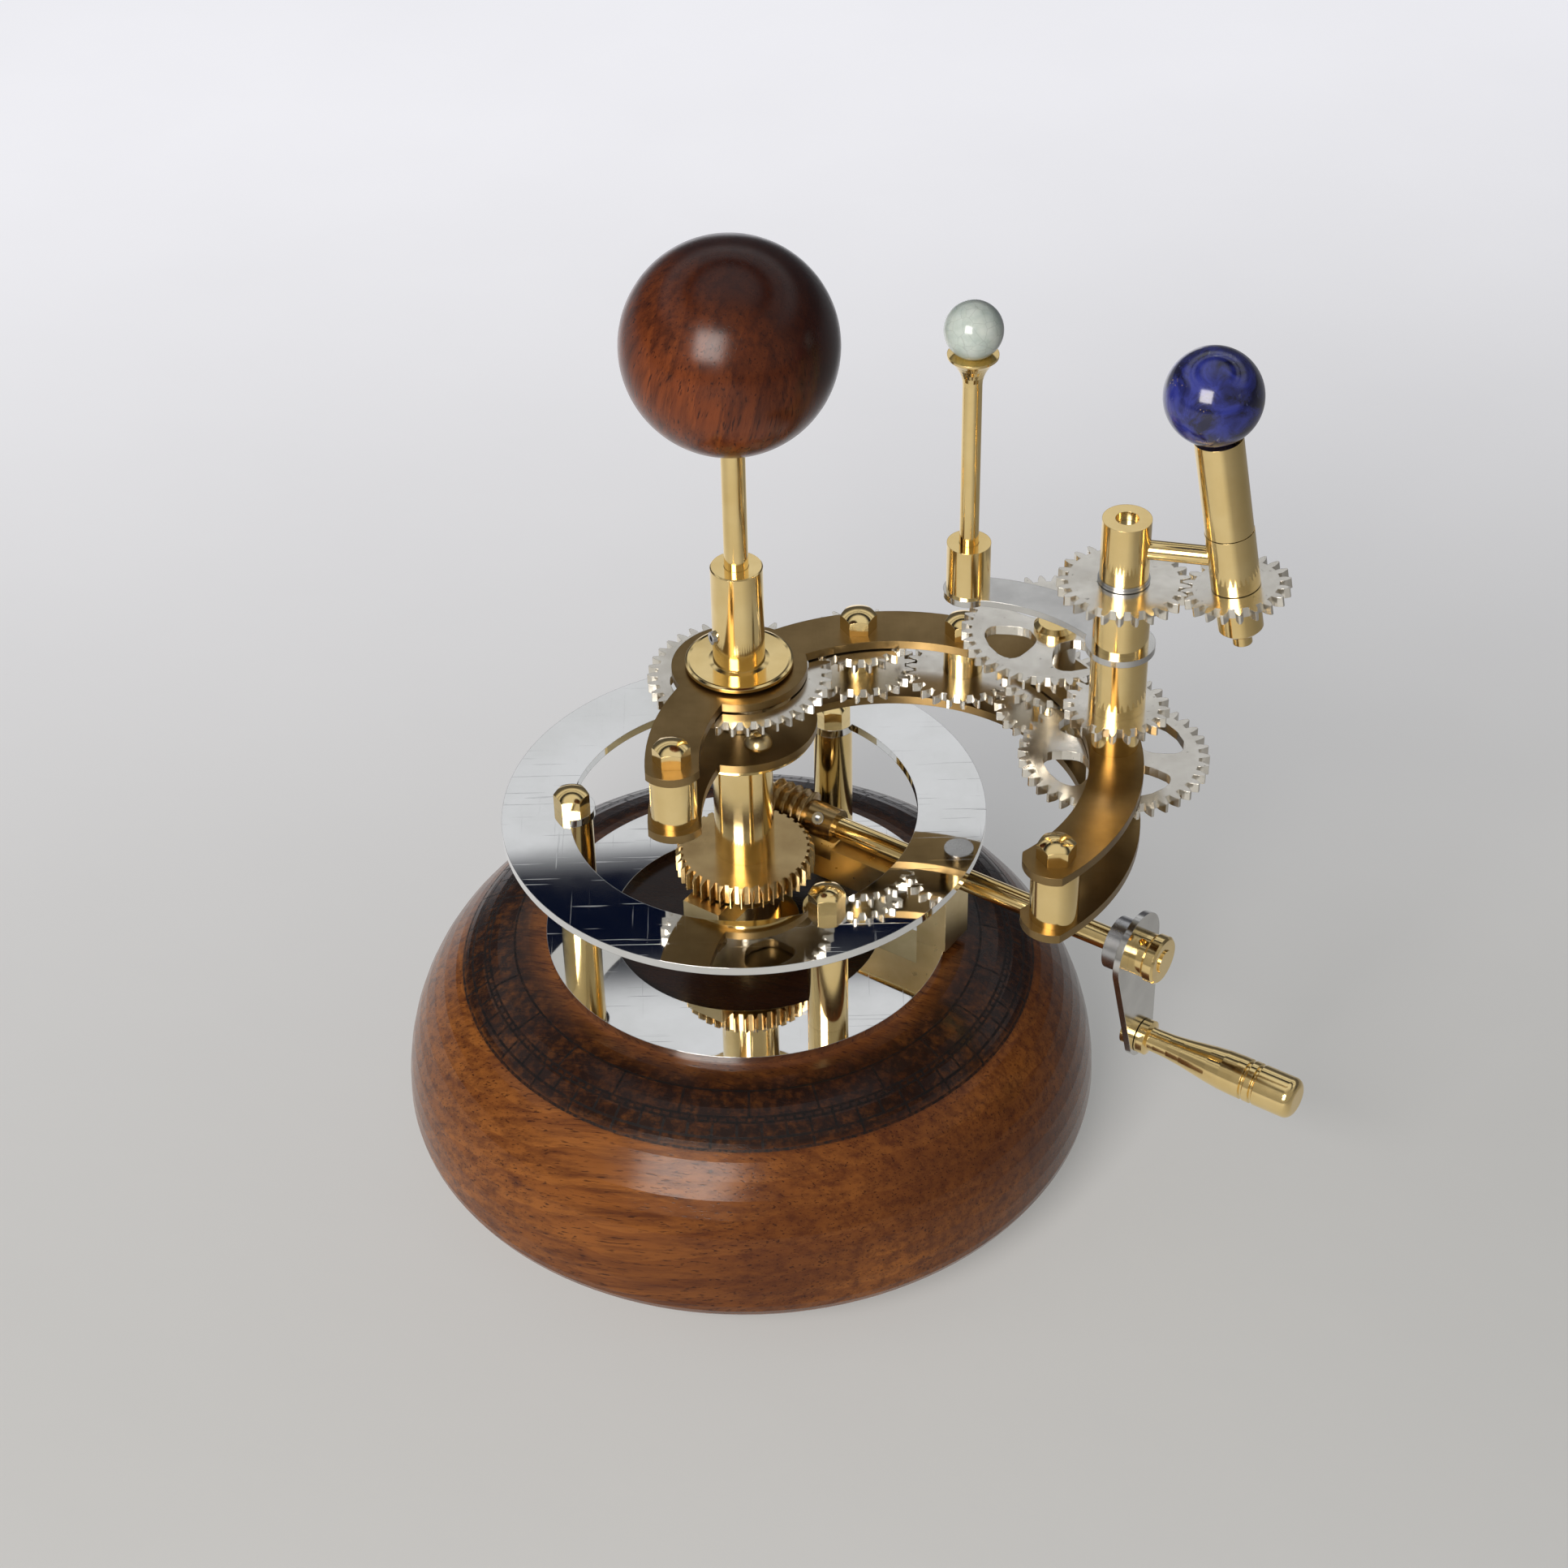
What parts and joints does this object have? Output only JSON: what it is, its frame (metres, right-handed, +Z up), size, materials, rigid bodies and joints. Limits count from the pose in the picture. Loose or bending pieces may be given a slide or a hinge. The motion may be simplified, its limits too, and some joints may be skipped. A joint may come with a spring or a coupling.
{
  "type": "orrery",
  "caption": "Hand-cranked orrery: a worm turns a curved geared arm round a Sun ball, and gear trains hold the Earth's axis, spin the Earth and carry the Moon.",
  "frame": {"origin": "middle of the wooden base's flat underside, on the table", "axes": "+Z up along the central arbor to the Sun; the crank shaft points to the front right, 35 degrees below +X in plan, and -Y faces the viewer of the picture"},
  "size_m": [0.2021, 0.1612, 0.2326],
  "materials": {
    "base_wood": "polished reddish hardwood with a glossy varnish",
    "mirror_steel": "mirror-polished stainless steel",
    "brass": "polished brass with fine turning marks",
    "bronze": "brushed dark brass",
    "steel": "satin steel",
    "nickel": "pale nickel-like steel with a faint mottle",
    "sun_wood": "polished dark red-brown ball with fine pores",
    "moon_stone": "pale polished stone with faint crackle",
    "earth_stone": "polished deep blue stone with pale and gold flecks"
  },
  "bodies": {
    "stand": {"wood_base": "base_wood", "lower_ring": "mirror_steel", "pillars": "brass", "upper_ring": "mirror_steel", "pillar_nuts": "brass", "central_arbor": "brass", "worm_bracket": "bronze", "fixed_gear": "nickel", "flanged_sleeve": "brass", "sleeve_screw": "steel", "sun_post": "brass", "sun_ball": "sun_wood"},
    "arm": {"worm_wheel": "brass", "column_tube": "brass", "lower_arm_plate": "bronze", "plate_screws": "steel", "arm_spacers": "brass", "idler_bushes": "steel", "arm_studs": "steel", "upper_arm_plate": "bronze", "dome_nuts": "brass", "column_collar": "brass"},
    "crank": {"crank_shaft": "brass", "worm": "brass", "worm_screw": "steel", "crank_collar": "steel", "crank_lever": "steel", "crank_hub": "brass", "handle_bolt": "steel"},
    "handle": {"crank_handle": "brass"},
    "idler_1": {"idler_1_hub": "brass", "idler_1_upper_gear": "nickel", "idler_1_lower_gear": "nickel"},
    "idler_2": {"idler_2_hub": "brass", "idler_2_gear": "nickel"},
    "idler_3": {"idler_3_arbor": "steel", "idler_3_hub": "brass", "idler_3_upper_gear": "nickel", "idler_3_lower_gear": "nickel", "moon_drive_gear": "nickel", "moon_drive_nut": "brass"},
    "carrier": {"carrier_arbor": "steel", "carrier_gear": "nickel", "top_washers": "steel", "top_collar": "brass", "earth_rod": "brass", "earth_socket": "brass"},
    "moon": {"moon_pinion": "nickel", "moon_low_sleeve": "brass", "moon_arm": "steel", "moon_up_sleeve": "brass", "earth_drive_gear": "nickel", "moon_post_collar": "brass", "moon_post": "brass", "moon_ball": "moon_stone"},
    "earth": {"earth_pinion": "nickel", "earth_shaft": "brass", "earth_tube": "brass", "earth_ball": "earth_stone"}
  },
  "joints": [
    {"name": "arm_turn", "type": "hinge", "parent": "stand", "child": "arm", "pos_m": [0, 0, 0.1], "axis": [0, 0, 1], "continuous": true},
    {"name": "crank_turn", "type": "hinge", "parent": "stand", "child": "crank", "pos_m": [0.01147, 0.01638, 0.0772], "axis": [0.8192, -0.5736, 0], "continuous": true},
    {"name": "handle_spin", "type": "hinge", "parent": "crank", "child": "handle", "pos_m": [0.09568, -0.0377, 0.04949], "axis": [0.8192, -0.5736, 0], "continuous": true},
    {"name": "idler_1_turn", "type": "hinge", "parent": "arm", "child": "idler_1", "pos_m": [0.02615, 0.01253, 0.121], "axis": [0, 0, 1], "continuous": true},
    {"name": "idler_2_turn", "type": "hinge", "parent": "arm", "child": "idler_2", "pos_m": [0.04898, 0.00969, 0.121], "axis": [0, 0, 1], "continuous": true},
    {"name": "idler_3_turn", "type": "hinge", "parent": "arm", "child": "idler_3", "pos_m": [0.0676, -0.0038, 0.121], "axis": [0, 0, 1], "continuous": true},
    {"name": "carrier_turn", "type": "hinge", "parent": "arm", "child": "carrier", "pos_m": [0.07817, -0.03081, 0.121], "axis": [0, 0, 1], "continuous": true},
    {"name": "moon_orbit", "type": "hinge", "parent": "arm", "child": "moon", "pos_m": [0.07817, -0.03081, 0.146], "axis": [0, 0, 1], "continuous": true},
    {"name": "earth_spin", "type": "hinge", "parent": "carrier", "child": "earth", "pos_m": [0.10014, -0.03572, 0.17303], "axis": [-0.1611, 0.036, 0.9863], "continuous": true}
  ],
  "couplings": [
    {"joint": "crank_turn", "follows": "arm_turn", "ratio": 40},
    {"joint": "idler_1_turn", "follows": "arm_turn", "ratio": 1.9},
    {"joint": "idler_2_turn", "follows": "arm_turn", "ratio": -1.9},
    {"joint": "idler_3_turn", "follows": "arm_turn", "ratio": 1.9},
    {"joint": "carrier_turn", "follows": "arm_turn", "ratio": -1},
    {"joint": "moon_orbit", "follows": "arm_turn", "ratio": -3.61},
    {"joint": "earth_spin", "follows": "arm_turn", "ratio": 3.2625}
  ]
}
